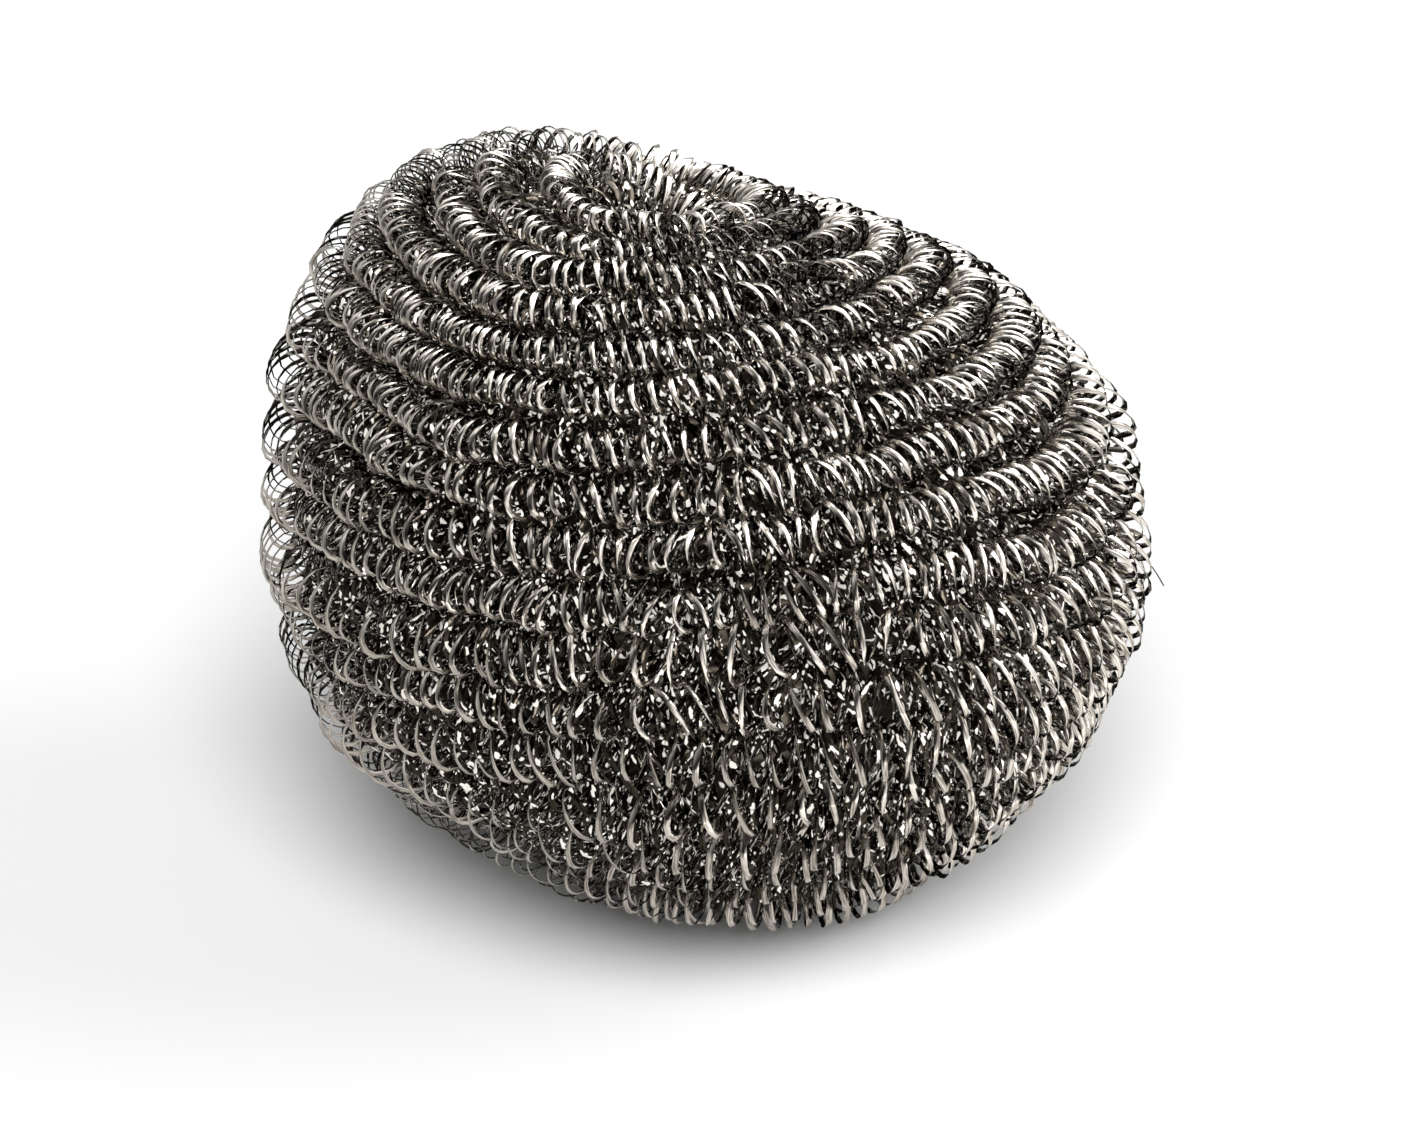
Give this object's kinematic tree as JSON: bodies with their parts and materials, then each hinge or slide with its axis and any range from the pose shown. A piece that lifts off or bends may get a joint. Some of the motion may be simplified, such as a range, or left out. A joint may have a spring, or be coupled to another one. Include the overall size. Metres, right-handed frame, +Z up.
{
  "type": "stainless steel scourer",
  "caption": "Round pot scourer, one long coil of flat stainless ribbon wound turn on turn into a slumped bun that rests on a small flat spot.",
  "frame": {"origin": "middle of the bounding box, on the surface that the scourer rests on", "axes": "+Z up, front towards -Y, width along X"},
  "size_m": [0.0884, 0.0862, 0.0747],
  "materials": {
    "stainless_ribbon": "bright flat ribbon with fine drawn lines, warm grey in the shade"
  },
  "bodies": {
    "root": {"wound_coil": "stainless_ribbon"}
  },
  "joints": []
}
